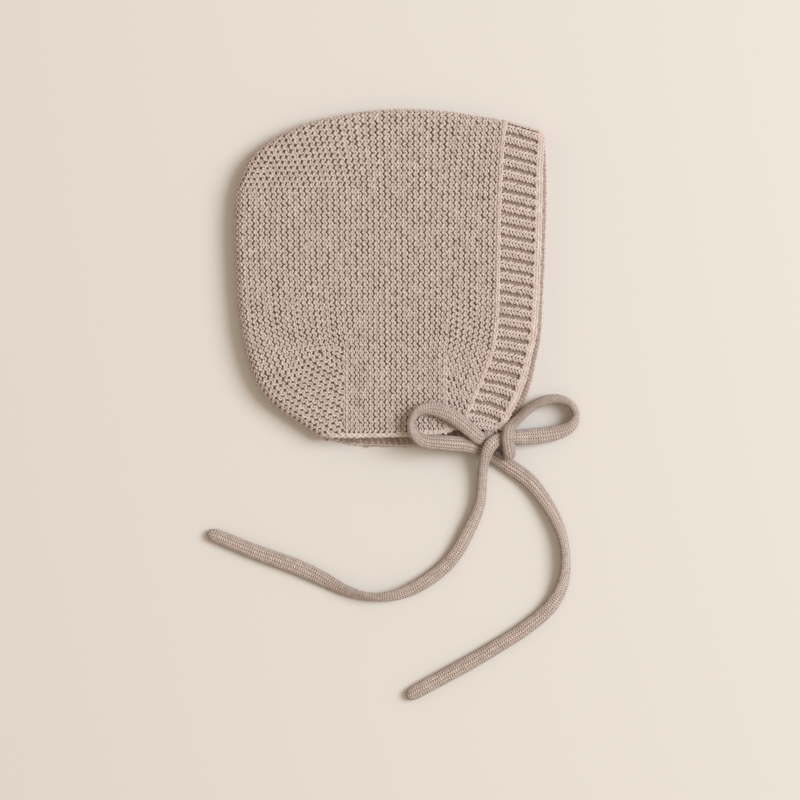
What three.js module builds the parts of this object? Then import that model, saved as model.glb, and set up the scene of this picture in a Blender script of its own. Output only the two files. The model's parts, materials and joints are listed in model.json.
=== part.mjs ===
// Baby bonnet, hand-knitted, lying folded flat with its two ties in a bow. Millimetres, +Z up.
// The crown is one garter-stitch piece folded along the top and the back, so it is a hollow pocket with
// a near and a far layer, open at the face and at the neck. A ribbed band follows the face opening over
// the top fold. The origin is the middle of the footprint of the crown and the band, on the surface that
// the far layer lies on.
import * as THREE from 'three';
import { mergeVertices } from 'three/addons/utils/BufferGeometryUtils.js';

// Fabric
const WALL = 2.4;              // thickness of the knitted fabric
const FOLD_RADIUS = 4.0;       // of the middle of the fabric, round the top and back fold
const SEWN_GAP = 0.6;          // left between two pieces that are sewn together
const FAR_Z = WALL / 2;        // height of the middle of the far layer
const FOLD_Z = FAR_Z + FOLD_RADIUS;
const NEAR_Z = FAR_Z + 2 * FOLD_RADIUS;

// Ties
const TIE_DIAMETER = 4.4;      // a plain round tube as thick as the flattened cord is on average
const TIE_SIDES = 10;
const TIE_STEPS = 64;

// Fineness of the mesh
const CROWN_SECTIONS = 36;     // from the face seam round to the neck edge
const LAYER_STEPS = 11;        // along one layer of a section
const FOLD_STEPS = 6;          // round the fold
const BAND_SECTIONS = 3;       // across the band

// The outline of the folded edge, from the face seam over the top and down the back to the neck.
const FOLD_ROWS = [
  { place: 'seam_top', x: 57.8, y: 78.5 },
  { place: 'top_front', x: 31.3, y: 82.8 },
  { place: 'top_peak', x: 5.3, y: 84.3 },
  { place: 'top_back', x: -19.8, y: 81.8 },
  { place: 'crown_turn', x: -44.8, y: 75.8 },
  { place: 'crown_corner', x: -66.3, y: 63.3 },
  { place: 'back_high', x: -75.3, y: 48.3 },
  { place: 'back_full', x: -78.0, y: 31.3 },
  { place: 'back_middle', x: -77.6, y: 3.3 },
  { place: 'back_low', x: -74.8, y: -26.8 },
  { place: 'nape_high', x: -68.9, y: -49.3 },
  { place: 'nape_turn', x: -60.9, y: -62.3 },
  { place: 'nape_low', x: -48.9, y: -71.6 },
  { place: 'neck_corner', x: -35.8, y: -80.3 },
];

// The neck edge of each layer, from the chin to the back.
const NECK_ROWS = [
  { place: 'chin', nearX: 35.3, nearY: -75.3, farX: 38.8, farY: -79.8 },
  { place: 'front', nearX: 24.8, nearY: -78.6, farX: 25.3, farY: -83.6 },
  { place: 'middle', nearX: 0.3, nearY: -79.9, farX: 1.3, farY: -84.2 },
  { place: 'back', nearX: -19.8, nearY: -80.3, farX: -19.8, farY: -83.1 },
  { place: 'neck_corner', nearX: -35.8, nearY: -80.3, farX: -35.8, farY: -80.3 },
];

// The band's seam and outer edge on the near side, from the chin up to the top fold, and how far the
// far side of the band stands out past the near one.
const BAND_ROWS = [
  { place: 'chin', seamX: 35.3, seamY: -75.3, edgeX: 56.3, edgeY: -77.3, outX: 3.5, outY: 1.5 },
  { place: 'jaw', seamX: 40.0, seamY: -65.8, edgeX: 59.8, edgeY: -69.8, outX: 4.4, outY: 0.6 },
  { place: 'jaw_high', seamX: 43.8, seamY: -56.8, edgeX: 63.5, edgeY: -62.3, outX: 4.2, outY: 0 },
  { place: 'cheek_low', seamX: 47.6, seamY: -47.8, edgeX: 67.5, edgeY: -52.3, outX: 3.5, outY: 0 },
  { place: 'cheek', seamX: 51.2, seamY: -37.8, edgeX: 70.5, edgeY: -40.8, outX: 3.0, outY: 0 },
  { place: 'cheek_high', seamX: 53.0, seamY: -27.8, edgeX: 72.7, edgeY: -30.8, outX: 2.7, outY: 0 },
  { place: 'ear', seamX: 53.9, seamY: -11.8, edgeX: 74.0, edgeY: -15.3, outX: 2.4, outY: 0 },
  { place: 'temple', seamX: 54.4, seamY: 13.2, edgeX: 75.1, edgeY: 9.2, outX: 2.4, outY: 0 },
  { place: 'brow', seamX: 55.0, seamY: 38.2, edgeX: 75.8, edgeY: 33.7, outX: 2.5, outY: 0 },
  { place: 'brow_high', seamX: 56.1, seamY: 60.2, edgeX: 76.2, edgeY: 55.2, outX: 2.1, outY: 0 },
  { place: 'top_fold', seamX: 57.8, seamY: 78.5, edgeX: 77.2, edgeY: 72.8, outX: 0, outY: 0 },
];

// Where the near layer sinks towards the far one: drawn in by the bow, and slack in the middle.
const HOLLOWS = [
  { place: 'chin', x: 50, y: -77, depth: 2.8, reachX: 45, reachY: 45 },
  { place: 'middle', x: -5, y: -5, depth: 0.7, reachX: 58, reachY: 62 },
];

// Each tie from the corner it is sewn to, through the bow, to its free end.
const TIE_LEFT_ROUTE = [
  [49.6, -77.3, 6.3], [49.3, -79.4, 6.2], [47.5, -81.2, 6.8], [44.6, -80.4, 9.0], [40.4, -76.8, 11.4],
  [32.8, -70.8, 12.6], [25.8, -67.4, 13.0], [19.6, -66.0, 13.3], [14.0, -67.6, 13.7], [10.9, -72.0, 13.8],
  [11.6, -77.6, 13.4], [17.4, -82.3, 12.0], [28.3, -83.3, 10.2], [38.3, -84.1, 7.8], [45.4, -86.4, 5.2],
  [50.2, -89.0, 3.4], [54.8, -91.6, 2.5], [59.8, -94.8, 2.3], [70.3, -102.7, 2.3], [79.4, -114.5, 2.3],
  [85.9, -127.5, 2.3], [88.3, -140.6, 2.3], [87.0, -153.7, 2.3], [80.7, -165.5, 2.3], [68.9, -175.9, 2.3],
  [54.6, -185.1, 2.3], [41.5, -192.9, 2.3], [28.4, -200.1, 2.3], [12.7, -208.6, 2.3], [8.3, -210.9, 2.3],
];
const TIE_RIGHT_ROUTE = [
  [58.0, -77.6, 2.3], [58.0, -80.6, 2.3], [58.6, -85.2, 2.5], [59.8, -88.8, 4.2], [60.3, -89.6, 7.4],
  [59.8, -87.4, 10.6], [59.1, -82.2, 12.0], [59.4, -77.9, 11.3], [61.0, -74.6, 9.0], [64.4, -71.2, 7.4],
  [70.3, -65.8, 6.2], [77.5, -62.1, 5.4], [84.3, -61.2, 4.8], [90.4, -63.4, 4.4], [93.5, -68.8, 4.2],
  [91.4, -74.4, 3.9], [85.8, -77.5, 3.8], [78.3, -79.2, 4.1], [70.3, -80.0, 5.0], [63.8, -80.3, 6.4],
  [58.6, -80.6, 7.2], [54.6, -81.5, 8.9], [51.4, -83.4, 10.7], [49.2, -86.6, 10.5], [48.0, -90.2, 8.4],
  [46.9, -95.4, 5.2], [46.4, -101.0, 3.2], [45.4, -113.2, 2.3], [40.2, -126.2, 2.3], [31.0, -141.9, 2.3],
  [17.8, -153.0, 2.3], [4.8, -159.2, 2.3], [-8.3, -160.6, 2.3], [-21.3, -157.6, 2.3], [-34.4, -151.1, 2.3],
  [-47.5, -145.2, 2.3], [-67.3, -138.0, 2.3], [-86.3, -130.3, 2.3], [-91.8, -128.8, 2.3],
];

const YARN = {
  crown: new THREE.MeshStandardMaterial({ name: 'knit_garter', color: '#b5a094', roughness: 0.95, metalness: 0 }),
  band: new THREE.MeshStandardMaterial({ name: 'knit_rib', color: '#b9a498', roughness: 0.95, metalness: 0 }),
  tie: new THREE.MeshStandardMaterial({ name: 'knit_tie', color: '#c0ac9f', roughness: 0.95, metalness: 0 }),
};

function curveThrough(rows, pick) {
  const points = rows.map((row) => new THREE.Vector3(...pick(row), 0));
  return new THREE.CatmullRomCurve3(points, false, 'centripetal');
}

function nearHeight(point) {
  const sunk = HOLLOWS.reduce((sum, hollow) => {
    const away = Math.hypot((point.x - hollow.x) / hollow.reachX, (point.y - hollow.y) / hollow.reachY);
    return sum + hollow.depth * Math.max(0, 1 - away) ** 2;
  }, 0);
  return NEAR_Z - sunk;
}

// The folded edge of the crown, and of the band on top. Both run from right to left.
const crownOutline = curveThrough(FOLD_ROWS, (row) => [row.x, row.y]);
const topFold = BAND_ROWS[BAND_ROWS.length - 1];
const bandOutline = new THREE.LineCurve3(
  new THREE.Vector3(topFold.edgeX, topFold.edgeY, 0),
  new THREE.Vector3(topFold.seamX, topFold.seamY, 0),
);

// The middle of the fabric at the fold lies half a wall inside the outline.
function foldMiddle(outline, along) {
  const tangent = outline.getTangentAt(along);
  const outward = new THREE.Vector3(tangent.y, -tangent.x, 0);
  return outline.getPointAt(along).addScaledVector(outward, -WALL / 2);
}

// A curve is bent so that it ends at a given fold point, and the bend fades out towards its start.
function endingAt(curve, end) {
  const shift = end.clone().sub(curve.getPointAt(1));
  return (run) => curve.getPointAt(run).addScaledVector(shift, run ** 4);
}

// How far a curve leaves the straight line between its own ends.
function sag(path, run) {
  const straight = path(0).lerp(path(1), run);
  return path(run).sub(straight);
}

// One U-shaped section of the folded fabric's middle: along the near layer to the fold, round it, and
// back along the far layer. near and far give the plan of each layer from its open end to the fold.
function foldedSection(near, far, foldRun) {
  const fold = near(1);
  const nearLength = 1 - foldRun / near(0).distanceTo(fold);
  const farLength = 1 - foldRun / far(0).distanceTo(fold);
  const nearTurn = near(nearLength);
  const farTurn = far(farLength);
  const points = [];
  for (let step = 0; step < LAYER_STEPS; step += 1) {
    const point = near((step / LAYER_STEPS) * nearLength);
    points.push(point.setZ(nearHeight(point)));
  }
  for (let step = 0; step <= FOLD_STEPS; step += 1) {
    const turn = Math.PI * (0.5 - step / FOLD_STEPS);
    const start = turn >= 0 ? nearTurn : farTurn;
    const rise = turn >= 0 ? nearHeight(nearTurn) - FOLD_Z : FOLD_RADIUS;
    const point = start.clone().lerp(fold, Math.cos(turn));
    points.push(point.setZ(FOLD_Z + rise * Math.sin(turn)));
  }
  for (let step = LAYER_STEPS - 1; step >= 0; step -= 1) {
    const point = far((step / LAYER_STEPS) * farLength);
    points.push(point.setZ(FAR_Z));
  }
  return points;
}

// The normal of a grid of points, from its neighbours. Where the grid closes to one point the fabric
// is level.
function gridNormal(grid, i, j) {
  const clampRow = (row) => grid[Math.min(Math.max(row, 0), grid.length - 1)];
  const line = grid[i];
  const alongSection = line[Math.min(j + 1, line.length - 1)].clone().sub(line[Math.max(j - 1, 0)]);
  const acrossSections = clampRow(i + 1)[j].clone().sub(clampRow(i - 1)[j]);
  const normal = new THREE.Vector3().crossVectors(alongSection, acrossSections);
  if (normal.length() < 1e-6) {
    return new THREE.Vector3(0, 0, j === 0 ? 1 : -1);
  }
  return normal.normalize();
}

// A closed wall of the fabric's thickness round a grid of its middle points.
function fabricWall(grid) {
  const rows = grid.length;
  const columns = grid[0].length;
  const positions = [];
  for (const side of [0.5, -0.5]) {
    grid.forEach((line, i) => line.forEach((point, j) => {
      const offset = point.clone().addScaledVector(gridNormal(grid, i, j), side * WALL);
      positions.push(offset.x, offset.y, offset.z);
    }));
  }
  const outer = (i, j) => i * columns + j;
  const inner = (i, j) => (rows + i) * columns + j;
  const faces = [];
  const quad = (a, b, c, d) => faces.push(a, b, c, a, c, d);
  for (let i = 0; i + 1 < rows; i += 1) {
    for (let j = 0; j + 1 < columns; j += 1) {
      quad(outer(i, j), outer(i, j + 1), outer(i + 1, j + 1), outer(i + 1, j));
      quad(inner(i, j), inner(i + 1, j), inner(i + 1, j + 1), inner(i, j + 1));
    }
    quad(outer(i, 0), outer(i + 1, 0), inner(i + 1, 0), inner(i, 0));
    quad(outer(i + 1, columns - 1), outer(i, columns - 1), inner(i, columns - 1), inner(i + 1, columns - 1));
  }
  for (let j = 0; j + 1 < columns; j += 1) {
    quad(outer(0, j + 1), outer(0, j), inner(0, j), inner(0, j + 1));
    quad(outer(rows - 1, j), outer(rows - 1, j + 1), inner(rows - 1, j + 1), inner(rows - 1, j));
  }
  const geometry = new THREE.BufferGeometry();
  geometry.setAttribute('position', new THREE.Float32BufferAttribute(positions, 3));
  geometry.setIndex(faces);
  return withoutSlivers(mergeVertices(geometry, 1e-4));
}

// Drops the triangles that closed to a line where the sections meet in one point.
function withoutSlivers(geometry) {
  const index = geometry.getIndex();
  const kept = [];
  for (let i = 0; i < index.count; i += 3) {
    const [a, b, c] = [index.getX(i), index.getX(i + 1), index.getX(i + 2)];
    if (a !== b && b !== c && c !== a) {
      kept.push(a, b, c);
    }
  }
  geometry.setIndex(kept);
  geometry.computeVertexNormals();
  return geometry;
}

// The crown: sections fan out from the chin corner to the fold. The first runs along the face seam
// and the last along the neck edge.
function crownGrid() {
  const seamEnd = foldMiddle(crownOutline, 0);
  const neckEnd = foldMiddle(crownOutline, 1);
  const seam = {
    near: endingAt(curveThrough(BAND_ROWS, (row) => [row.seamX, row.seamY]), seamEnd),
    far: endingAt(curveThrough(BAND_ROWS, farSeam), seamEnd),
  };
  const neck = {
    near: endingAt(curveThrough(NECK_ROWS, (row) => [row.nearX, row.nearY]), neckEnd),
    far: endingAt(curveThrough(NECK_ROWS, (row) => [row.farX, row.farY]), neckEnd),
  };
  const grid = [];
  for (let section = 0; section <= CROWN_SECTIONS; section += 1) {
    const along = section / CROWN_SECTIONS;
    const fold = foldMiddle(crownOutline, along);
    const layer = (side) => (run) => seam[side](0).lerp(fold, run)
      .addScaledVector(sag(seam[side], run), (1 - along) ** 2)
      .addScaledVector(sag(neck[side], run), along ** 2);
    const ruling = fold.clone().sub(seam.near(0)).normalize();
    const squareness = Math.abs(ruling.cross(crownOutline.getTangentAt(along)).z);
    grid.push(foldedSection(layer('near'), layer('far'), FOLD_RADIUS / squareness));
  }
  return grid;
}

// The far layer's seam stands out past the near one as the far edge does, and meets the neck edge at
// its own chin corner.
function farSeam(row) {
  if (row.place === 'chin') {
    return [NECK_ROWS[0].farX, NECK_ROWS[0].farY];
  }
  return [row.seamX + row.outX, row.seamY];
}

// The band: sections side by side from the seam to the outer edge, each a U over the top fold.
function bandGrid() {
  const width = bandOutline.getLength();
  const firstSection = SEWN_GAP / width;
  const grid = [];
  for (let section = 0; section <= BAND_SECTIONS; section += 1) {
    const across = firstSection + (1 - firstSection) * (section / BAND_SECTIONS);
    const between = (from, to) => from + (to - from) * across;
    const end = foldMiddle(bandOutline, 1 - across);
    const near = curveThrough(BAND_ROWS, (row) => [between(row.seamX, row.edgeX), between(row.seamY, row.edgeY)]);
    const far = curveThrough(BAND_ROWS, (row) => {
      const [seamX, seamY] = farSeam(row);
      return [between(seamX, row.edgeX + row.outX), between(seamY, row.edgeY + row.outY)];
    });
    const layers = [endingAt(near, end), endingAt(far, end)];
    grid.push(foldedSection(...layers, FOLD_RADIUS));
  }
  return grid;
}

function tieGeometry(route) {
  const section = new THREE.Shape();
  for (let side = 0; side < TIE_SIDES; side += 1) {
    const turn = (2 * Math.PI * side) / TIE_SIDES;
    const corner = [Math.cos(turn) * (TIE_DIAMETER / 2), Math.sin(turn) * (TIE_DIAMETER / 2)];
    if (side === 0) {
      section.moveTo(...corner);
    } else {
      section.lineTo(...corner);
    }
  }
  section.closePath();
  const path = new THREE.CatmullRomCurve3(route.map((point) => new THREE.Vector3(...point)), false, 'centripetal');
  return new THREE.ExtrudeGeometry(section, { steps: TIE_STEPS, extrudePath: path, bevelEnabled: false });
}

function piece(name, geometry, material) {
  const mesh = new THREE.Mesh(geometry, material);
  mesh.name = name;
  return mesh;
}

const bonnet = new THREE.Group();
bonnet.add(piece('crown', fabricWall(crownGrid()), YARN.crown));
bonnet.add(piece('face_band', fabricWall(bandGrid()), YARN.band));
bonnet.add(piece('tie_left', tieGeometry(TIE_LEFT_ROUTE), YARN.tie));
bonnet.add(piece('tie_right', tieGeometry(TIE_RIGHT_ROUTE), YARN.tie));

export default bonnet;
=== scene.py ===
import json
import math

import bpy
import numpy as np
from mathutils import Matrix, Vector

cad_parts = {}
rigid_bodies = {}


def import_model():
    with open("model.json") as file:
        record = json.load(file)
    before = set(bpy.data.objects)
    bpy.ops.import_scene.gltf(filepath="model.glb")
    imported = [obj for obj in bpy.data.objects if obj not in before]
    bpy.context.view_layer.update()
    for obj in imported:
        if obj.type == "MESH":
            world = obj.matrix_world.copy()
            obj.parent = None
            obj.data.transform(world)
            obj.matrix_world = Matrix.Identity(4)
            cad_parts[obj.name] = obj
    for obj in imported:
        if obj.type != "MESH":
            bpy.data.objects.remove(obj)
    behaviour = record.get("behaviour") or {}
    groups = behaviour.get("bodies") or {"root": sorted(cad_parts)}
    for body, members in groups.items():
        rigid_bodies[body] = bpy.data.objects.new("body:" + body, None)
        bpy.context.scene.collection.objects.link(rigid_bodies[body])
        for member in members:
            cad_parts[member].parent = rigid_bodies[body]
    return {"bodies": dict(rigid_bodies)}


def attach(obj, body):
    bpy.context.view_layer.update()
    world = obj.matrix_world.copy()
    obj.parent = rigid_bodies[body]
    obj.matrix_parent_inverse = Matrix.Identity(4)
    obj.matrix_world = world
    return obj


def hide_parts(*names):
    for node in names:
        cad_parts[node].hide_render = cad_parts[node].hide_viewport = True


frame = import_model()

# A knitted baby bonnet, folded flat, with its ties in a bow. Tables are in millimetres, in the CAD
# frame. MM turns them into metres where a mesh is made.
MM = 0.001
BODY = list(frame["bodies"])[0]
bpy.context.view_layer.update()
CHANCE = np.random.default_rng(7)

# The fabric, as the CAD walls hold it
FOLD_OUTER = 5.2          # outer radius of the fold, and the height of its middle
YARN_RADIUS = 0.62        # of one strand
FACE_RADIUS = FOLD_OUTER - YARN_RADIUS
FOLD_SPARE = (math.pi / 2 - 1) * FACE_RADIUS   # what the rounded fold adds to the flat outline

# The knitting
RIDGE_PITCH = 2.83        # from one garter ridge to the next
STITCH_PITCH = 2.93       # from one stitch to the next along a ridge
RIB_PITCH = 5.6
FABRIC_FACE = -0.95       # height of the plain fabric under them
INSIDE_FACE = -1.16       # height of strands on the far layer's upper face
RIB_ROW = 1.66            # from one row of the rib to the next

# The outline of the folded edge, from the face seam over the top and down the back to the neck.
FOLD_ROWS = [
    # x, y
    (57.8, 78.5),     # seam top
    (31.3, 82.8),     # top, front
    (5.3, 84.3),      # top, peak
    (-19.8, 81.8),    # top, back
    (-44.8, 75.8),    # crown turn
    (-66.3, 63.3),    # crown corner
    (-75.3, 48.3),    # back, high
    (-78.0, 31.3),    # back, fullest
    (-77.6, 3.3),     # back, middle
    (-74.8, -26.8),   # back, low
    (-68.9, -49.3),   # nape, high
    (-60.9, -62.3),   # nape, turn
    (-48.9, -71.6),   # nape, low
    (-35.8, -80.3),   # neck corner
]

# The neck edge of the near and the far layer, from the chin to the back.
NECK_ROWS = [
    # near x, near y, far x, far y
    (35.3, -75.3, 38.8, -79.8),
    (24.8, -78.6, 25.3, -83.6),
    (0.3, -79.9, 1.3, -84.2),
    (-19.8, -80.3, -19.8, -83.1),
    (-35.8, -80.3, -35.8, -80.3),
]

# The band's seam and outer edge on the near side, from the chin up to the top fold, and how far the
# far side stands out past it.
BAND_ROWS = [
    # seam x, seam y, edge x, edge y, out x, out y
    (35.3, -75.3, 56.3, -77.3, 3.5, 1.5),
    (40.0, -65.8, 59.8, -69.8, 4.4, 0.6),
    (43.8, -56.8, 63.5, -62.3, 4.2, 0.0),
    (47.6, -47.8, 67.5, -52.3, 3.5, 0.0),
    (51.2, -37.8, 70.5, -40.8, 3.0, 0.0),
    (53.0, -27.8, 72.7, -30.8, 2.7, 0.0),
    (53.9, -11.8, 74.0, -15.3, 2.4, 0.0),
    (54.4, 13.2, 75.1, 9.2, 2.4, 0.0),
    (55.0, 38.2, 75.8, 33.7, 2.5, 0.0),
    (56.1, 60.2, 76.2, 55.2, 2.1, 0.0),
    (57.8, 78.5, 77.2, 72.8, 0.0, 0.0),
]

# Where the near layer sinks towards the far one.
HOLLOWS = [
    # x, y, depth, reach x, reach y
    (50.0, -77.0, 2.8, 45.0, 45.0),    # drawn in by the bow
    (-5.0, -5.0, 0.7, 58.0, 62.0),     # slack in the middle
]

# Each tie from its corner through the bow to its free end: place, roll of the flat cord about its
# own line (0 lies flat, 90 stands on edge) and width.
TIE_LEFT = [
    # x, y, z, roll, width
    (49.6, -77.3, 6.3, 0, 6.0), (49.3, -79.4, 6.2, 0, 6.0), (47.5, -81.2, 6.8, 5, 6.2),
    (44.6, -80.4, 9.0, 8, 6.8), (40.4, -76.8, 11.4, 5, 7.2), (32.8, -70.8, 12.6, 5, 7.4),
    (25.8, -67.4, 13.0, 15, 7.4), (19.6, -66.0, 13.3, 35, 7.2), (14.0, -67.6, 13.7, 62, 7.0),
    (10.9, -72.0, 13.8, 80, 7.0), (11.6, -77.6, 13.4, 66, 7.2), (17.4, -82.3, 12.0, 30, 7.6),
    (28.3, -83.3, 10.2, 12, 8.0), (38.3, -84.1, 7.8, 8, 7.8), (45.4, -86.4, 5.2, 5, 6.8),
    (50.2, -89.0, 3.4, 0, 6.4), (54.8, -91.6, 2.5, 0, 7.0), (59.8, -94.8, 2.3, 0, 7.6),
    (70.3, -102.7, 2.3, 8, 7.6), (79.4, -114.5, 2.5, 30, 7.2), (85.9, -127.5, 2.8, 50, 7.0),
    (88.3, -140.6, 3.0, 58, 7.0), (87.0, -153.7, 2.7, 40, 7.2), (80.7, -165.5, 2.3, 15, 7.2),
    (68.9, -175.9, 2.3, 5, 7.2), (54.6, -185.1, 2.3, 0, 7.2), (41.5, -192.9, 2.3, 0, 7.4),
    (28.4, -200.1, 2.3, 0, 7.4), (12.7, -208.6, 2.3, 0, 7.0), (8.3, -210.9, 2.3, 0, 5.6),
]
TIE_RIGHT = [
    # x, y, z, roll, width
    (58.0, -77.6, 2.3, 0, 6.0), (58.0, -80.6, 2.3, 0, 6.0), (58.6, -85.2, 2.5, 0, 6.0),
    (59.8, -88.8, 4.2, 0, 6.0), (60.3, -89.6, 7.4, 0, 6.0), (59.8, -87.4, 10.6, 0, 6.0),
    (59.1, -82.2, 12.0, 0, 6.2), (59.4, -77.9, 11.3, 10, 6.2), (61.0, -74.6, 9.0, 35, 6.0),
    (64.4, -71.2, 7.4, 55, 6.4), (70.3, -65.8, 6.2, 62, 6.8), (77.5, -62.1, 5.4, 62, 7.0),
    (84.3, -61.2, 4.8, 66, 7.0), (90.4, -63.4, 4.6, 76, 7.0), (93.5, -68.8, 4.4, 78, 7.2),
    (91.4, -74.4, 4.1, 50, 7.4), (85.8, -77.5, 3.8, 24, 7.6), (78.3, -79.2, 4.1, 10, 7.8),
    (70.3, -80.0, 5.0, 4, 7.8), (63.8, -80.3, 6.4, 0, 7.0), (58.6, -80.6, 7.2, 0, 6.2),
    (54.6, -81.5, 8.9, 0, 6.4), (51.4, -83.4, 10.7, 0, 6.6), (49.2, -86.6, 10.5, 8, 6.4),
    (48.0, -90.2, 8.4, 25, 6.0), (46.9, -95.4, 5.2, 45, 6.0), (46.4, -101.0, 3.6, 52, 6.2),
    (45.4, -113.2, 2.9, 45, 6.6), (40.2, -126.2, 2.5, 25, 7.0), (31.0, -141.9, 2.3, 10, 7.0),
    (17.8, -153.0, 2.3, 12, 7.0), (4.8, -159.2, 2.8, 45, 6.8), (-8.3, -160.6, 3.1, 68, 6.8),
    (-21.3, -157.6, 2.8, 45, 7.0), (-34.4, -151.1, 2.3, 14, 7.6), (-47.5, -145.2, 2.3, 4, 7.8),
    (-67.3, -138.0, 2.3, 0, 7.4), (-86.3, -130.3, 2.3, 0, 6.8), (-91.8, -128.8, 2.3, 0, 5.6),
]
TIE_WIDTH = 7.4
TIE_THICKNESS = 3.6
TIE_END = 3.2             # over which the free end draws in
WALES = 14                # lengthwise columns of stitches round a tie
WALE_HEIGHT = 0.11

# Shaping of the crown
DART_TOP = -36.0          # the two darts start at this height
BACK_DART_X = -22.0
FRONT_DART_X = 27.8
FAN_START = 44.0          # above this line the ridges at the back fan out
FAN_PIVOT = (0.0, -58.0)
FAN_EASE = 8.0            # over which they begin to lean


# ---------------------------------------------------------------- curves in plan

def resample(line, count):
    """The same line with evenly spaced points."""
    steps = np.linalg.norm(np.diff(line, axis=0), axis=1)
    run = np.concatenate([[0.0], np.cumsum(steps)])
    even = np.linspace(0.0, run[-1], count)
    return np.stack([np.interp(even, run, line[:, k]) for k in range(line.shape[1])], axis=1)


def smooth_curve(rows, count):
    """Evenly spaced points on a smooth curve through the rows. Columns past the place go with it."""
    rows = np.array(rows, float)
    padded = np.vstack([2 * rows[0] - rows[1], rows, 2 * rows[-1] - rows[-2]])
    pieces = []
    for i in range(1, len(padded) - 2):
        t = np.linspace(0.0, 1.0, 20, endpoint=False)[:, None]
        a, b, c, d = padded[i - 1:i + 3]
        pieces.append(0.5 * (2 * b + (c - a) * t + (2 * a - 5 * b + 4 * c - d) * t ** 2
                             + (3 * b - a - 3 * c + d) * t ** 3))
    return resample(np.vstack(pieces + [rows[-1:]]), count)


def extended(line, before, after):
    """The line with a straight piece added at each end."""
    rows = [line]
    if before > 0:
        rows.insert(0, line[0] + (line[0] - line[1]) / np.linalg.norm(line[0] - line[1]) * before)
    if after > 0:
        rows.append(line[-1] + (line[-1] - line[-2]) / np.linalg.norm(line[-1] - line[-2]) * after)
    return np.vstack(rows)


CROWN_OUTLINE = smooth_curve(FOLD_ROWS, 240)
BAND_TOP = np.array([[BAND_ROWS[-1][2], BAND_ROWS[-1][3]]])
OUTLINE = extended(np.vstack([BAND_TOP, CROWN_OUTLINE]), 10.0, 12.0)
SEAM = smooth_curve([row[0:2] for row in BAND_ROWS], 160)
EDGE = smooth_curve([row[2:4] for row in BAND_ROWS], 160)
FAR_SEAM = smooth_curve([(38.8, -79.8)] + [(r[0] + r[4], r[1]) for r in BAND_ROWS[1:]], 160)
FAR_EDGE = smooth_curve([(r[2] + r[4], r[3] + r[5]) for r in BAND_ROWS], 160)
NECK = smooth_curve([row[0:2] for row in NECK_ROWS], 120)
FAR_NECK = smooth_curve([row[2:4] for row in NECK_ROWS], 120)
BACK = CROWN_OUTLINE[np.argmin(CROWN_OUTLINE[:, 0] + 0.2 * np.abs(CROWN_OUTLINE[:, 1] - FAN_START)):]


def x_on(line, y):
    """The x of a line that runs up or down, at each y."""
    order = np.argsort(line[:, 1])
    return np.interp(y, line[order, 1], line[order, 0])


def y_on(line, x):
    order = np.argsort(line[:, 0])
    return np.interp(x, line[order, 0], line[order, 1])


def near_top(x, y):
    """Height of the near layer's upper face."""
    sunk = np.zeros_like(x)
    for centre_x, centre_y, depth, reach_x, reach_y in HOLLOWS:
        away = np.hypot((x - centre_x) / reach_x, (y - centre_y) / reach_y)
        sunk += depth * np.maximum(0.0, 1.0 - away) ** 2
    return 2 * FOLD_OUTER - sunk


def inside_outline(plan):
    """How far inside the folded outline each point lies, the nearest outline point and its normal."""
    start = OUTLINE[:-1]
    step = OUTLINE[1:] - start
    length2 = (step ** 2).sum(1)
    depth = np.empty(len(plan))
    foot = np.empty_like(plan)
    inward = np.empty_like(plan)
    normals = np.stack([-step[:, 1], step[:, 0]], axis=1) / np.sqrt(length2)[:, None]
    for first in range(0, len(plan), 8192):
        part = plan[first:first + 8192]
        offset = part[:, None, :] - start[None]
        along = np.clip((offset * step[None]).sum(2) / length2[None], 0.0, 1.0)
        gap = offset - along[..., None] * step[None]
        best = (gap ** 2).sum(2).argmin(1)
        rows = np.arange(len(part))
        chosen = gap[rows, best]
        foot[first:first + 8192] = part - chosen
        inward[first:first + 8192] = normals[best]
        depth[first:first + 8192] = (chosen * normals[best]).sum(1)
    return depth, foot, inward


def drape(plan, height, side):
    """Lays flat knitting on the folded form. plan is in the flattened fabric, height above its face,
    and side is 1 on the near layer and -1 on the far one."""
    depth, foot, inward = inside_outline(plan)
    run = depth - YARN_RADIUS + FOLD_SPARE
    turn = np.clip(run / FACE_RADIUS, -0.6, math.pi / 2)
    in_fold = run < FACE_RADIUS * math.pi / 2
    inset = YARN_RADIUS + FACE_RADIUS * (1 - np.cos(turn))
    place = np.where(in_fold[:, None], foot + inward * inset[:, None], plan)
    if side > 0:
        rise = near_top(place[:, 0], place[:, 1]) - YARN_RADIUS - FOLD_OUTER
    else:
        rise = np.full(len(plan), FACE_RADIUS)
    outward = -inward * np.cos(turn)[:, None]
    result = np.empty((len(plan), 3))
    result[:, 0:2] = place + outward * height[:, None]
    result[:, 2] = FOLD_OUTER + side * (rise * np.sin(turn) + height * np.sin(turn))
    result[:, 2] = np.maximum(result[:, 2], 0.0)
    return result


# ---------------------------------------------------------------- meshes

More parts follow.
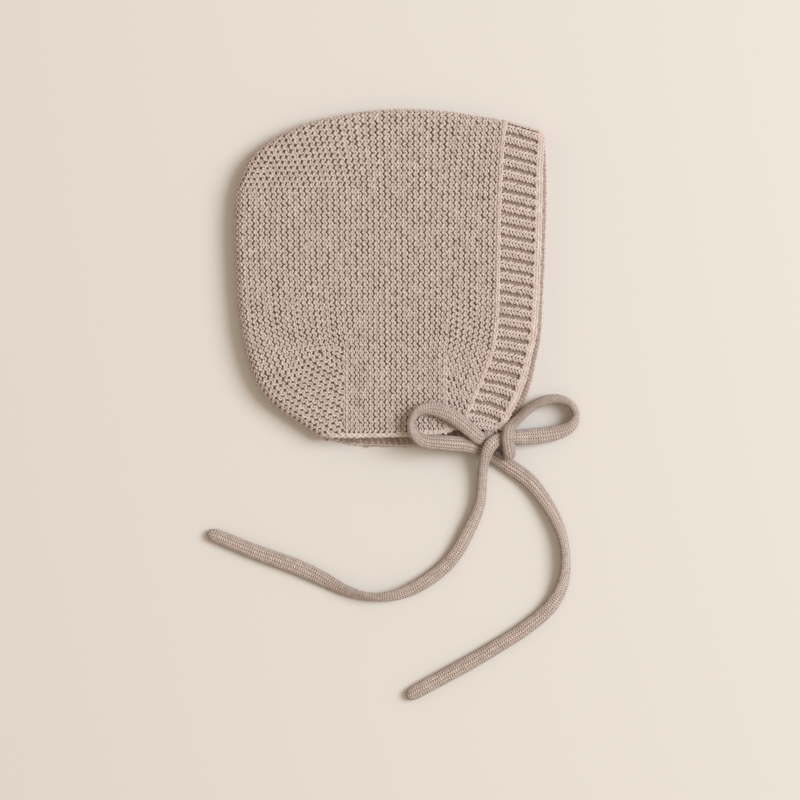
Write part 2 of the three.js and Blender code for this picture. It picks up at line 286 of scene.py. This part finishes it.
def make_object(name, points, faces, material, attributes):
    """A smooth-shaded piece from points in millimetres. faces may differ in size, and each attribute
    holds a number for every point."""
    mesh = bpy.data.meshes.new(name)
    mesh.vertices.add(len(points))
    mesh.vertices.foreach_set("co", (points * MM).astype(np.float32).ravel())
    sizes = np.array([len(face) for face in faces])
    corners = np.concatenate([np.ravel(face) for face in faces]) if isinstance(faces, list) else faces.ravel()
    starts = np.concatenate([[0], np.cumsum(sizes)[:-1]])
    mesh.loops.add(len(corners))
    mesh.loops.foreach_set("vertex_index", corners.astype(np.int32))
    mesh.polygons.add(len(sizes))
    mesh.polygons.foreach_set("loop_start", starts.astype(np.int32))
    mesh.update(calc_edges=True)
    mesh.validate()
    mesh.polygons.foreach_set("use_smooth", np.ones(len(mesh.polygons), bool))
    for key, values in attributes.items():
        layer = mesh.attributes.new(key, "FLOAT", "POINT")
        layer.data.foreach_set("value", np.asarray(values, np.float32))
    piece = bpy.data.objects.new(name, mesh)
    bpy.context.scene.collection.objects.link(piece)
    mesh.materials.append(material)
    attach(piece, BODY)
    return piece


def strand_template(centre, radius, sides):
    """A short strand round a centre line of (along, across, height): its points, as offsets in the same
    three directions, and its faces. Its ends are open where they dip into the neighbours."""
    centre = np.array(centre, float)
    tangent = np.gradient(centre, axis=0)
    tangent /= np.linalg.norm(tangent, axis=1)[:, None]
    flat = np.cross(tangent, (0.0, 0.0, 1.0))
    flat /= np.linalg.norm(flat, axis=1)[:, None]
    up = np.cross(flat, tangent)
    points = []
    for i, place in enumerate(centre):
        for side in range(sides):
            turn = 2 * math.pi * (side + 0.5 * (i % 2)) / sides
            points.append(place + radius * (flat[i] * math.cos(turn) + up[i] * math.sin(turn)))
    faces = []
    for i in range(len(centre) - 1):
        for side in range(sides):
            a, b = i * sides + side, i * sides + (side + 1) % sides
            faces.append((a, b + sides, b))
            faces.append((a, a + sides, b + sides))
    return np.array(points), np.array(faces)


def bump_arc(sign, steps, sides, radius):
    """One purl bump of a garter ridge, an arc that bows out to one side and dips in at both ends."""
    bend = np.linspace(-1.0, 1.0, steps)
    along = 0.5 * (sign < 0) * STITCH_PITCH + bend * 0.50 * STITCH_PITCH
    across = sign * (-0.25 + 0.64 * np.cos(bend * math.pi / 2)) * RIDGE_PITCH * 0.91
    height = -0.85 + 1.0 * np.cos(bend * math.pi / 2) ** 0.7
    return strand_template(np.stack([along, across, height], axis=1), radius, sides)


def leg(start, end, steps, sides, radius, swell):
    """One leg of a knit stitch, between two (along, across, height) points."""
    t = np.linspace(0.0, 1.0, steps)[:, None]
    line = np.array(start) * (1 - t) + np.array(end) * t
    line[:, 2] += swell * np.sin(t[:, 0] * math.pi)
    return strand_template(line, radius, sides)


class Knitting:
    """Collects stitches laid on the fabric and makes them one mesh."""

    def __init__(self):
        self.points = []
        self.faces = []
        self.shade = []
        self.count = 0

    def lay(self, template, path, places, side, height=0.0, painted_light_offset=0.0, inside=False):
        """Puts the template at each place along a path of (x, y, width) rows. Stitches inside lie on
        the far layer's upper face, towards the hollow."""
        if len(places) == 0:
            return
        points, faces = template
        steps = np.linalg.norm(np.diff(path[:, 0:2], axis=0), axis=1)
        run = np.concatenate([[0.0], np.cumsum(steps)])
        tangent = np.gradient(path[:, 0:2], axis=0)
        tangent /= np.linalg.norm(tangent, axis=1)[:, None]
        slip = CHANCE.normal(0.0, 0.09, (len(places), 1))
        stretch = CHANCE.normal(1.0, 0.05, (len(places), 1))
        slant = CHANCE.normal(0.0, 0.07, (len(places), 1))
        at = (places[:, None] + slip + points[None, :, 0] * stretch + slant * points[None, :, 1]).ravel()
        across = (points[None, :, 1] * stretch + CHANCE.normal(0.0, 0.07, (len(places), 1))).ravel()
        x, y, tx, ty, width = (np.interp(at, run, column) for column in
                               (path[:, 0], path[:, 1], tangent[:, 0], tangent[:, 1], path[:, 2]))
        norm = np.hypot(tx, ty)
        plan = np.stack([x - ty / norm * across * width, y + tx / norm * across * width], axis=1)
        lift = np.minimum(CHANCE.normal(0.0, 0.07, len(places)), 0.0).repeat(len(points))
        rise = np.tile(points[:, 2], len(places)) + height + lift
        if inside:
            rise = INSIDE_FACE - rise
        outward = faces if (side > 0) != inside else faces[:, ::-1]
        self.add(drape(plan, rise, side), outward, len(places), painted_light_offset)

    def add(self, laid, faces, copies, painted_light_offset):
        size = len(laid) // copies
        # Each copy gets a random tone about its painted light offset: painted highlight where the offset is
        # above zero, painted shade where it is below.
        shade = CHANCE.normal(painted_light_offset, 0.10, copies).repeat(size)
        offsets = self.count + np.arange(copies)[:, None, None] * size
        self.points.append(laid)
        self.faces.append((faces[None] + offsets).reshape(-1, faces.shape[1]))
        self.shade.append(shade)
        self.count += copies * size

    def finish(self, name, material):
        shade = {"shade": np.concatenate(self.shade)}
        return make_object(name, np.vstack(self.points), np.vstack(self.faces), material, shade)


# ---------------------------------------------------------------- the crown's ridges

def smooth_step(value, low, high):
    t = np.clip((value - low) / (high - low), 0.0, 1.0)
    return t * t * (3 - 2 * t)


RIDGES = 47


def ridge_x(number, y):
    """Where a ridge crosses each height in the middle and upper part of the crown. number may be a
    fraction, and counts from the seam."""
    start = x_on(SEAM, 0.0) - (number + 0.5) * RIDGE_PITCH
    seam_pull = smooth_step(start, 8.0, 36.0) * (x_on(SEAM, y) - x_on(SEAM, 0.0))
    low = np.minimum(y, FAN_START)
    reach = np.where(y < 0, 40.0, 78.0)
    back_pull = smooth_step(-start, 2.0, reach) * (x_on(BACK, low) - x_on(BACK, 0.0))
    wander = 0.18 * np.sin(y / 11.0 + 0.9 * number) * min(1.0, max(0.0, number / 4))
    x = start + seam_pull + back_pull + wander
    lean = np.minimum(x - FAN_PIVOT[0], 0.0) / (FAN_START - FAN_PIVOT[1])
    above = y - FAN_START
    ease = np.where(above < FAN_EASE, (above + FAN_EASE) ** 2 / (4 * FAN_EASE), above)
    return x + np.where(above > -FAN_EASE, ease, 0.0) * lean


def ridge_path(number, lowest):
    """A garter ridge in the flattened fabric, from the top down, as (x, y, width) rows."""
    y = np.arange(92.0, DART_TOP, -1.0)
    x = ridge_x(number, y)
    width = np.abs(ridge_x(number - 0.5, y) - ridge_x(number + 0.5, y)) / RIDGE_PITCH
    lean = np.gradient(x, y)
    rows = [np.stack([x, y, width / np.sqrt(1 + lean ** 2)], axis=1)]
    turn_x = ridge_x(number, DART_TOP)
    low = np.arange(DART_TOP, lowest, -1.0)
    if turn_x > FRONT_DART_X:
        low_x = turn_x + x_on(SEAM, low) - x_on(SEAM, DART_TOP)
        low = low[low_x > FRONT_DART_X + 0.3]
        low_x = low_x[:len(low)]
    elif turn_x > BACK_DART_X:
        low_x = np.full(len(low), turn_x)
    else:
        inset = turn_x - x_on(BACK, DART_TOP)
        tangent = np.gradient(BACK, axis=0)
        tangent /= np.linalg.norm(tangent, axis=1)[:, None]
        inner = BACK + np.stack([-tangent[:, 1], tangent[:, 0]], axis=1) * inset
        inner = extended(inner[inner[:, 1] < DART_TOP], 0.0, 30.0)
        inner = resample(inner, 90)
        inner = inner[inner[:, 0] < BACK_DART_X - 0.3]
        low_x, low = inner[:, 0], inner[:, 1]
    if len(low) > 1:
        rows.append(np.stack([low_x, low, np.full(len(low), width[-1])], axis=1))
    path = np.vstack(rows)
    keep = np.concatenate([[True], np.linalg.norm(np.diff(path[:, 0:2], axis=0), axis=1) > 1e-6])
    return path[keep]


def stitches_on(path, allowed):
    """Even places along a path, counted from where it crosses y = 0, where allowed(plan) holds."""
    steps = np.linalg.norm(np.diff(path[:, 0:2], axis=0), axis=1)
    run = np.concatenate([[0.0], np.cumsum(steps)])
    origin = np.interp(0.0, -path[:, 1], run)
    turn = np.interp(-DART_TOP, -path[:, 1], run)
    turn_x = np.interp(-DART_TOP, -path[:, 1], path[:, 0])
    # Below the darts' tops neighbouring ridges keep in step square to their own lean. The step is
    # made up over the stretch above.
    lean = 0.30 if turn_x > FRONT_DART_X else -0.27 if turn_x < BACK_DART_X else 0.0
    count = (turn - origin) / STITCH_PITCH
    wanted = -lean * turn_x / STITCH_PITCH
    counted = wanted + round(count - wanted) if lean else count
    rate = counted / count
    phase = np.where(run < origin, run - origin, (np.minimum(run, turn) - origin) * rate)
    phase = (phase + np.maximum(run - turn, 0.0)) / STITCH_PITCH
    wholes = np.arange(math.ceil(phase[0]), phase[-1] - 0.3)
    places = np.interp(wholes, phase, run)
    plan = np.stack([np.interp(places, run, path[:, 0]), np.interp(places, run, path[:, 1])], axis=1)
    return places[allowed(plan)]


def crown_domain(side, seam, neck):
    """Where stitches may lie. The near layer has the ridge that runs on the fold itself."""
    past_fold = FOLD_SPARE + (1.1 if side > 0 else 0.4)

    def allowed(plan):
        depth, _, _ = inside_outline(plan)
        left_of_seam = plan[:, 0] < x_on(seam, plan[:, 1]) - 0.7
        above_neck = plan[:, 1] > y_on(neck, plan[:, 0]) + 1.7
        beside_neck = plan[:, 0] > -34.0
        return (depth > YARN_RADIUS - past_fold) & left_of_seam & (above_neck | ~beside_neck)
    return allowed


def garter(name, side, seam, neck, first, last, fineness):
    """The garter stitches of the ridges first to last of one layer."""
    steps, sides = fineness
    knitting = Knitting()
    outer = bump_arc(1, steps, sides, YARN_RADIUS)
    inner = bump_arc(-1, steps, sides, YARN_RADIUS)
    allowed = crown_domain(side, seam, neck)
    for number in range(first, last):
        path = ridge_path(number, -92.0)
        places = stitches_on(path, allowed)
        knitting.lay(outer, path, places, side)
        knitting.lay(inner, path, places, side)
    return knitting.finish(name, YARN_GARTER)


# ---------------------------------------------------------------- materials

def link(tree, start, output, end, target):
    tree.links.new(start.outputs[output], end.inputs[target])


def yarn_material(name, light, deep, warm, ply_scale):
    """Melange yarn: two close tones mixed by fine noise, a warmer fleck, and hair-fine relief."""
    material = bpy.data.materials.new(name)
    material.use_nodes = True
    tree = material.node_tree
    shader = tree.nodes["Principled BSDF"]
    shader.inputs["Roughness"].default_value = 0.92
    shader.inputs["Specular IOR Level"].default_value = 0.25
    shader.inputs["Sheen Weight"].default_value = 0.25
    shader.inputs["Sheen Roughness"].default_value = 0.5
    place = tree.nodes.new("ShaderNodeTexCoord")
    melange = tree.nodes.new("ShaderNodeTexNoise")
    melange.inputs["Scale"].default_value = 420.0
    melange.inputs["Detail"].default_value = 3.0
    link(tree, place, "Object", melange, "Vector")
    spread = tree.nodes.new("ShaderNodeMapRange")
    spread.inputs["From Min"].default_value = 0.32
    spread.inputs["From Max"].default_value = 0.66
    link(tree, melange, "Fac", spread, "Value")
    shade = tree.nodes.new("ShaderNodeAttribute")
    shade.attribute_name = "shade"
    level = tree.nodes.new("ShaderNodeMath")
    level.operation = "ADD"
    link(tree, spread, "Result", level, 0)
    link(tree, shade, "Fac", level, 1)
    tone = tree.nodes.new("ShaderNodeMix")
    tone.data_type = "RGBA"
    tone.inputs["A"].default_value = (*deep, 1)
    tone.inputs["B"].default_value = (*light, 1)
    tone.clamp_factor = False
    link(tree, level, "Value", tone, "Factor")
    fleck = tree.nodes.new("ShaderNodeTexNoise")
    fleck.inputs["Scale"].default_value = 95.0
    fleck.inputs["Detail"].default_value = 2.0
    link(tree, place, "Object", fleck, "Vector")
    fleck_range = tree.nodes.new("ShaderNodeMapRange")
    fleck_range.inputs["From Min"].default_value = 0.52
    fleck_range.inputs["From Max"].default_value = 0.72
    link(tree, fleck, "Fac", fleck_range, "Value")
    flecked = tree.nodes.new("ShaderNodeMix")
    flecked.data_type = "RGBA"
    flecked.inputs["B"].default_value = (*warm, 1)
    link(tree, tone, "Result", flecked, "A")
    link(tree, fleck_range, "Result", flecked, "Factor")
    link(tree, flecked, "Result", shader, "Base Color")
    fibres = tree.nodes.new("ShaderNodeTexNoise")
    fibres.inputs["Scale"].default_value = ply_scale
    fibres.inputs["Detail"].default_value = 4.0
    link(tree, place, "Object", fibres, "Vector")
    relief = tree.nodes.new("ShaderNodeBump")
    relief.inputs["Strength"].default_value = 0.45
    relief.inputs["Distance"].default_value = 0.0003
    link(tree, fibres, "Fac", relief, "Height")
    link(tree, relief, "Normal", shader, "Normal")
    return material


def floor_material():
    material = bpy.data.materials.new("pale_floor")
    material.use_nodes = True
    shader = material.node_tree.nodes["Principled BSDF"]
    shader.inputs["Base Color"].default_value = (0.72, 0.695, 0.65, 1)
    shader.inputs["Roughness"].default_value = 0.9
    shader.inputs["Specular IOR Level"].default_value = 0.1
    return material


YARN_GARTER = yarn_material("garter_yarn", (0.67, 0.56, 0.51), (0.52, 0.425, 0.38),
                            (0.62, 0.50, 0.45), 2600.0)
YARN_RIB = yarn_material("rib_yarn", (0.71, 0.595, 0.54), (0.56, 0.455, 0.41),
                         (0.66, 0.53, 0.475), 2600.0)
# Painted shade: a darkened copy of the yarn for the sheets under the stitches, so the gaps between the
# stitches read as shade.
PAINTED_SHADE_YARN = yarn_material("painted_shade_fabric", (0.40, 0.30, 0.25), (0.29, 0.21, 0.175),
                           (0.37, 0.27, 0.22), 1500.0)


# ---------------------------------------------------------------- camera and light

def make_camera():
    data = bpy.data.cameras.new("camera")
    camera = bpy.data.objects.new("camera", data)
    bpy.context.scene.collection.objects.link(camera)
    field = 0.400
    height = 1.30
    data.sensor_width = 36.0
    data.lens = data.sensor_width * (height - 0.008) / field
    camera.location = (0.00525, -0.06175, height)
    data.clip_end = 20.0
    bpy.context.scene.camera = camera


def area_light(name, place, target, size, power, colour):
    data = bpy.data.lights.new(name, "AREA")
    data.shape = "DISK"
    data.size = size
    data.energy = power
    data.color = colour
    lamp = bpy.data.objects.new(name, data)
    bpy.context.scene.collection.objects.link(lamp)
    lamp.location = place
    direction = Vector(target) - Vector(place)
    lamp.rotation_mode = "QUATERNION"
    lamp.rotation_quaternion = direction.to_track_quat("-Z", "Y")


def make_studio():
    view = bpy.context.scene.view_settings
    view.view_transform = "Standard"
    view.look = "None"
    bpy.ops.mesh.primitive_plane_add(size=6.0, location=(0, 0, 0))
    floor = bpy.context.object
    floor.name = "floor"
    floor.data.materials.append(floor_material())
    world = bpy.data.worlds.new("studio")
    bpy.context.scene.world = world
    world.use_nodes = True
    back = world.node_tree.nodes["Background"]
    back.inputs["Color"].default_value = (1.0, 0.83, 0.67, 1)
    back.inputs["Strength"].default_value = 0.58
    area_light("window", (2.2, 0.45, 2.0), (0.0, -0.05, 0.0), 1.9, 84.0, (0.95, 1.0, 1.06))


# ---------------------------------------------------------------- base fabric

def crown_fabric(name, side, seam, neck):
    """The plain fabric under the stitches of one layer: a fan of sections from the chin corner to the
    fold, with a real thickness. Its dark colour is painted shade, standing for the shade in the gaps
    between the stitches."""
    sections, runs = 150, 70
    fold = resample(CROWN_OUTLINE, sections + 1)
    corner = seam[0]
    grid = np.empty((sections + 1, runs + 1, 2))
    run = np.linspace(0.0, 1.0, runs + 1)[:, None]
    seam_line = resample(seam, runs + 1)
    neck_line = resample(neck, runs + 1)
    seam_sag = seam_line - (seam_line[0] * (1 - run) + seam_line[-1] * run)
    neck_sag = neck_line - (neck_line[0] * (1 - run) + neck_line[-1] * run)
    tangent = np.gradient(fold, axis=0)
    tangent /= np.linalg.norm(tangent, axis=1)[:, None]
    outward = np.stack([tangent[:, 1], -tangent[:, 0]], axis=1)
    for i in range(sections + 1):
        share = i / sections
        end = fold[i] + outward[i] * (FOLD_SPARE - YARN_RADIUS) * smooth_step(share, 1.0, 0.97)
        grid[i] = corner * (1 - run) + end * run + seam_sag * (1 - share) ** 2 + neck_sag * share ** 2
    return sheet_wall(name, grid.reshape(-1, 2), grid_faces(sections + 1, runs + 1), side)


def grid_faces(rows, columns):
    i, j = np.meshgrid(np.arange(rows - 1), np.arange(columns - 1), indexing="ij")
    a = (i * columns + j).ravel()
    return np.stack([a, a + 1, a + columns + 1, a + columns], axis=1)


def sheet_wall(name, plan, faces, side):
    """A sheet in the flattened fabric, draped and given a thickness inwards."""
    outer = drape(plan, np.full(len(plan), FABRIC_FACE), side)
    inner = drape(plan, np.full(len(plan), FABRIC_FACE - 0.9), side)
    count = len(plan)
    rows = faces if side < 0 else faces[:, ::-1]
    walls = boundary_walls(rows, count)
    everything = np.vstack([rows, rows[:, ::-1] + count, walls])
    # The sheet wears the painted shade yarn, darker than the stitches on it.
    piece = make_object(name, np.vstack([outer, inner]), everything, PAINTED_SHADE_YARN,
                        {"shade": np.zeros(2 * count)})
    return piece


def boundary_walls(faces, count):
    """Quads that close the rim between a sheet and its copy."""
    edges = {}
    for face in faces:
        for a, b in zip(face, np.roll(face, -1)):
            key = (min(a, b), max(a, b))
            edges[key] = None if key in edges else (a, b)
    rim = np.array([pair for pair in edges.values() if pair is not None])
    return np.stack([rim[:, 1], rim[:, 0], rim[:, 0] + count, rim[:, 1] + count], axis=1)


def band_fabric(name, side, seam, edge):
    """The plain fabric under one side of the band, from the chin to past the top fold, in painted shade."""
    stations, columns = 120, 13
    seam_line = extended(resample(seam, stations), 0.0, FOLD_SPARE)
    edge_line = extended(resample(edge, stations), 0.0, FOLD_SPARE)
    across = np.linspace(0.0, 1.0, columns)[None, :, None]
    plan = (seam_line[:, None, :] * (1 - across) + edge_line[:, None, :] * across).reshape(-1, 2)
    return sheet_wall(name, plan, grid_faces(stations + 1, columns)[:, ::-1], side)


# ---------------------------------------------------------------- band

def band_station(seam, edge, run):
    """Seam and edge point of the band at a run in mm from the top fold."""
    seam_line = extended(seam[::-1], FOLD_SPARE - YARN_RADIUS, 0.0)
    edge_line = extended(edge[::-1], FOLD_SPARE - YARN_RADIUS, 0.0)
    middle = 0.5 * (resample(seam_line, 300) + resample(edge_line, 300))
    steps = np.linalg.norm(np.diff(middle, axis=0), axis=1)
    length = np.concatenate([[0.0], np.cumsum(steps)])
    share = np.interp(run, length, np.linspace(0.0, 1.0, 300))
    return point_on(seam_line, share), point_on(edge_line, share), length[-1]


def point_on(line, share):
    """The point at a share of the way along a line."""
    even = resample(line, 300)
    place = np.linspace(0.0, 1.0, 300)
    return np.array([np.interp(share, place, even[:, 0]), np.interp(share, place, even[:, 1])])


def rib_band(name, side, seam, edge):
    """The V stitches of every rib on one side of the band."""
    knitting = Knitting()
    radius = 0.68
    up_leg = leg((-0.60, 0.10, 0.05), (1.35, 1.72, -0.55), 5, 5, radius, 0.22)
    low_leg = leg((-0.60, -0.10, 0.05), (1.35, -1.72, -0.55), 5, 5, radius, 0.22)
    _, _, length = band_station(seam, edge, 0.0)
    ribs = int(length / RIB_PITCH)
    for number in range(ribs + 1):
        run = number * length / ribs
        chin = smooth_step(number / ribs, 0.6, 1.0)
        start, _, _ = band_station(seam, edge, run)
        _, end, _ = band_station(seam, edge, min(run + 4.5 * chin, length))
        bow = np.array([end[1] - start[1], start[0] - end[0]]) * 0.07 * chin
        t = np.linspace(0.0, 1.0, 24)[:, None]
        line = start * (1 - t) + end * t - 4 * bow * t * (1 - t)
        path = np.column_stack([line, np.ones(24)])
        places = np.arange(1.3, np.linalg.norm(end - start) - 2.2, RIB_ROW)
        knitting.lay(up_leg, path, places, side)
        knitting.lay(low_leg, path, places, side)
    return knitting.finish(name, YARN_RIB)


def chain(knitting, line, side, pitch, half_width, height, painted_light_offset, inside=False):
    """A chain of V stitches along a line in the flattened fabric, its tone moved by a painted light offset.
    """
    one = leg((-0.5, 0.10, -0.1), (pitch * 0.95, half_width, -0.1), 5, 5, 0.66, 0.30)
    other = leg((-0.5, -0.10, -0.1), (pitch * 0.95, -half_width, -0.1), 5, 5, 0.66, 0.30)
    path = np.column_stack([line, np.ones(len(line))])
    length = np.linalg.norm(np.diff(line, axis=0), axis=1).sum()
    places = np.arange(0.0, length - 0.5 * pitch, pitch)
    knitting.lay(one, path, places, side, height, painted_light_offset, inside)
    knitting.lay(other, path, places, side, height, painted_light_offset, inside)


def moved(line, distance):
    """The line moved to its left by a distance."""
    tangent = np.gradient(line, axis=0)
    tangent /= np.linalg.norm(tangent, axis=1)[:, None]
    return line + np.stack([-tangent[:, 1], tangent[:, 0]], axis=1) * distance


def edgings(name, side, seam, edge, neck):
    """The chain seam, the band's selvage and the bound-off neck edge of one side."""
    knitting = Knitting()
    border = extended(edge, 0.0, FOLD_SPARE)
    # Painted highlight: the seam, selvage and outer neck chains are set lighter than the rest of the yarn.
    chain(knitting, extended(seam, 0.0, FOLD_SPARE), side, STITCH_PITCH, 0.75, 0.0, 0.15)
    chain(knitting, moved(border, 1.9), side, 1.9, 0.90, -0.35, 0.25)
    chain(knitting, moved(border, 0.6), side, 1.9, 0.85, -0.60, 0.25)
    chain(knitting, moved(neck, -0.9), side, STITCH_PITCH, 0.75, -0.1, 0.22)
    chain(knitting, moved(neck, -0.4), side, STITCH_PITCH, 0.6, -1.0, 0.10)
    if side < 0:
        for distance in (0.5, 1.9, 3.3, 4.7, 6.1, 7.5):
            chain(knitting, moved(border, distance), side, 1.9, 0.85, 0.0, 0.0, True)
        # Painted shade: the inner neck chains, under the near layer, are set darker.
        for distance in (0.5, 1.9, 3.3, 4.7, 6.1):
            chain(knitting, moved(neck, -distance), side, STITCH_PITCH, 0.75, 0.0, -0.1, True)
    return knitting.finish(name, YARN_RIB)


def darts():
    """The decreases of the crown: columns of V stitches on the near layer."""
    knitting = Knitting()
    for x, low in ((BACK_DART_X, -77.5), (FRONT_DART_X, -66.0)):
        y = np.linspace(low, DART_TOP + 3.0, 40)
        line = np.stack([np.full(40, x), y], axis=1)
        # Painted shade: the sunk dart columns are set darker than the yarn around them.
        chain(knitting, line, 1, STITCH_PITCH, 0.95, -0.42, -0.10)
    return knitting.finish("crown_darts", YARN_GARTER)


# ---------------------------------------------------------------- ties

def carried_sides(tangent):
    """The cord's sideways direction at each ring, carried along so that it doesn't flip where the cord
    climbs, and drawn back to level where it doesn't."""
    sides = np.empty_like(tangent)
    carried = np.cross(tangent[0], (0.0, 0.0, 1.0))
    for i, along in enumerate(tangent):
        level = np.cross(along, (0.0, 0.0, 1.0))
        carried = carried - along * np.dot(carried, along)
        carried /= np.linalg.norm(carried)
        if np.dot(level, carried) < 0:
            level = -level
        weight = 0.35 * min(1.0, np.linalg.norm(level) * 1.5)
        carried = carried * (1 - weight) + level * weight
        carried /= np.linalg.norm(carried)
        sides[i] = carried
    return sides


def cord_rings(table, run, turn):
    """The rings of a flat cord: its own width and roll at each place, wales as relief, and a free end
    that is drawn in."""
    tangent = np.gradient(table[:, 0:3], axis=0)
    tangent /= np.linalg.norm(tangent, axis=1)[:, None]
    level_side = carried_sides(tangent)
    level_up = np.cross(level_side, tangent)
    roll = np.radians(table[:, 3])[:, None]
    side = level_side * np.cos(roll) + level_up * np.sin(roll)
    up = np.cross(side, tangent)
    taper = 0.35 + 0.65 * np.sqrt(np.clip((run[-1] - run) / TIE_END, 0.0, 1.0))
    taper[-1] = 0.02
    width = table[:, 4]
    thickness = TIE_THICKNESS * (TIE_WIDTH / width) ** 0.25
    half_width = (width / 2 * taper - WALE_HEIGHT)[:, None]
    half_thickness = (thickness / 2 * taper - WALE_HEIGHT)[:, None]
    wale = WALE_HEIGHT * np.abs(np.cos(turn * WALES / 2))
    wide = np.sign(np.cos(turn)) * np.abs(np.cos(turn)) ** 0.85
    thick = np.sign(np.sin(turn)) * np.abs(np.sin(turn)) ** 0.9
    across = wide * half_width + wale * np.cos(turn)
    height = thick * half_thickness + wale * np.sin(turn)
    rings = table[:, None, 0:3] + side[:, None] * across[..., None] + up[:, None] * height[..., None]
    lowest = rings[:, :, 2].min(axis=1)
    rings[:, :, 2] += np.maximum(0.05 - lowest, 0.0)[:, None]
    return rings


def tie(name, node, rows):
    """A knitted tubular cord pressed flat, in place of a CAD tie."""
    rings_along, around = 420, 48
    table = smooth_curve(rows, rings_along)
    steps = np.linalg.norm(np.diff(table[:, 0:3], axis=0), axis=1)
    run = np.concatenate([[0.0], np.cumsum(steps)])
    turn = np.linspace(0.0, 2 * math.pi, around, endpoint=False)
    rings = cord_rings(table, run, turn)
    i, j = np.meshgrid(np.arange(rings_along - 1), np.arange(around), indexing="ij")
    a = (i * around + j).ravel()
    b = (i * around + (j + 1) % around).ravel()
    faces = list(np.stack([a, a + around, b + around, b], axis=1))
    faces.append(np.arange(around))
    faces.append((rings_along - 1) * around + np.arange(around)[::-1])
    attributes = {
        "shade": np.zeros(rings_along * around),
        "row": np.repeat(run, around),
        "wale": np.tile(turn / (2 * math.pi), rings_along) * WALES,
    }
    piece = make_object(name, rings.reshape(-1, 3), faces, YARN_TIE, attributes)
    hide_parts(node)
    return piece


def tie_material():
    """Tie yarn with the knitted V rows worked out from the cord's own row and wale counts, and painted
    shade that darkens the yarn where the relief sinks between them.
    """
    material = yarn_material("tie_knit", (0.83, 0.69, 0.605), (0.63, 0.50, 0.43),
                             (0.76, 0.60, 0.52), 3200.0)
    tree = material.node_tree
    shader = tree.nodes["Principled BSDF"]
    row = tree.nodes.new("ShaderNodeAttribute")
    row.attribute_name = "row"
    wale = tree.nodes.new("ShaderNodeAttribute")
    wale.attribute_name = "wale"

    def maths(operation, first, second=None, value=None):
        node = tree.nodes.new("ShaderNodeMath")
        node.operation = operation
        tree.links.new(first, node.inputs[0])
        if second is not None:
            tree.links.new(second, node.inputs[1])
        elif value is not None:
            node.inputs[1].default_value = value
        return node.outputs["Value"]

    part = maths("FRACT", wale.outputs["Fac"])
    middle = maths("ABSOLUTE", maths("SUBTRACT", part, value=0.5))
    slant = maths("MULTIPLY", middle, value=1.2)
    rows = maths("MULTIPLY", row.outputs["Fac"], value=1 / 1.25)
    wave = maths("SINE", maths("MULTIPLY", maths("ADD", rows, slant), value=2 * math.pi))
    groove = maths("POWER", maths("MULTIPLY", middle, value=2.0), value=4.0)
    height = maths("SUBTRACT", maths("MULTIPLY", wave, value=0.5), groove)
    relief = tree.nodes.new("ShaderNodeBump")
    relief.inputs["Strength"].default_value = 0.9
    relief.inputs["Distance"].default_value = 0.0007
    tree.links.new(height, relief.inputs["Height"])
    fine = [node for node in tree.nodes if node.type == "BUMP" and node != relief][0]
    tree.links.new(fine.outputs["Normal"], relief.inputs["Normal"])
    tree.links.new(relief.outputs["Normal"], shader.inputs["Normal"])
    old = shader.inputs["Base Color"].links[0].from_socket
    # Painted shade: the colour is mixed towards dark brown where the relief is low, in the grooves between
    # wales and rows.
    groove_painted_shade = tree.nodes.new("ShaderNodeMix")
    groove_painted_shade.data_type = "RGBA"
    groove_painted_shade.inputs["B"].default_value = (0.30, 0.21, 0.17, 1)
    tree.links.new(old, groove_painted_shade.inputs["A"])
    painted_shade_amount = tree.nodes.new("ShaderNodeMapRange")
    painted_shade_amount.inputs["From Min"].default_value = 0.15
    painted_shade_amount.inputs["From Max"].default_value = -1.3
    painted_shade_amount.inputs["To Max"].default_value = 0.95
    tree.links.new(height, painted_shade_amount.inputs["Value"])
    tree.links.new(painted_shade_amount.outputs["Result"], groove_painted_shade.inputs["Factor"])
    tree.links.new(groove_painted_shade.outputs["Result"], shader.inputs["Base Color"])
    return material


YARN_TIE = tie_material()

# ---------------------------------------------------------------- making

make_camera()
make_studio()
tie("tie_left_cord", "tie_left", TIE_LEFT)
tie("tie_right_cord", "tie_right", TIE_RIGHT)

near_crown = crown_fabric("crown_near_fabric", 1, SEAM, NECK)
far_crown = crown_fabric("crown_far_fabric", -1, FAR_SEAM, FAR_NECK)
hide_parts("crown")
near_band = band_fabric("band_near_fabric", 1, SEAM, EDGE)
far_band = band_fabric("band_far_fabric", -1, FAR_SEAM, FAR_EDGE)
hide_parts("face_band")

near_stitches = [
    garter("garter_near_front", 1, SEAM, NECK, 0, 24, (7, 5)),
    garter("garter_near_back", 1, SEAM, NECK, 24, RIDGES + 1, (7, 5)),
    darts(),
]
far_stitches = [
    garter("garter_far_front", -1, FAR_SEAM, FAR_NECK, 0, 24, (5, 4)),
    garter("garter_far_back", -1, FAR_SEAM, FAR_NECK, 24, RIDGES + 1, (5, 4)),
]
near_ribs = [rib_band("rib_near", 1, SEAM, EDGE), edgings("edging_near", 1, SEAM, EDGE, NECK)]
far_ribs = [
    rib_band("rib_far", -1, FAR_SEAM, FAR_EDGE),
    edgings("edging_far", -1, FAR_SEAM, FAR_EDGE, FAR_NECK),
]
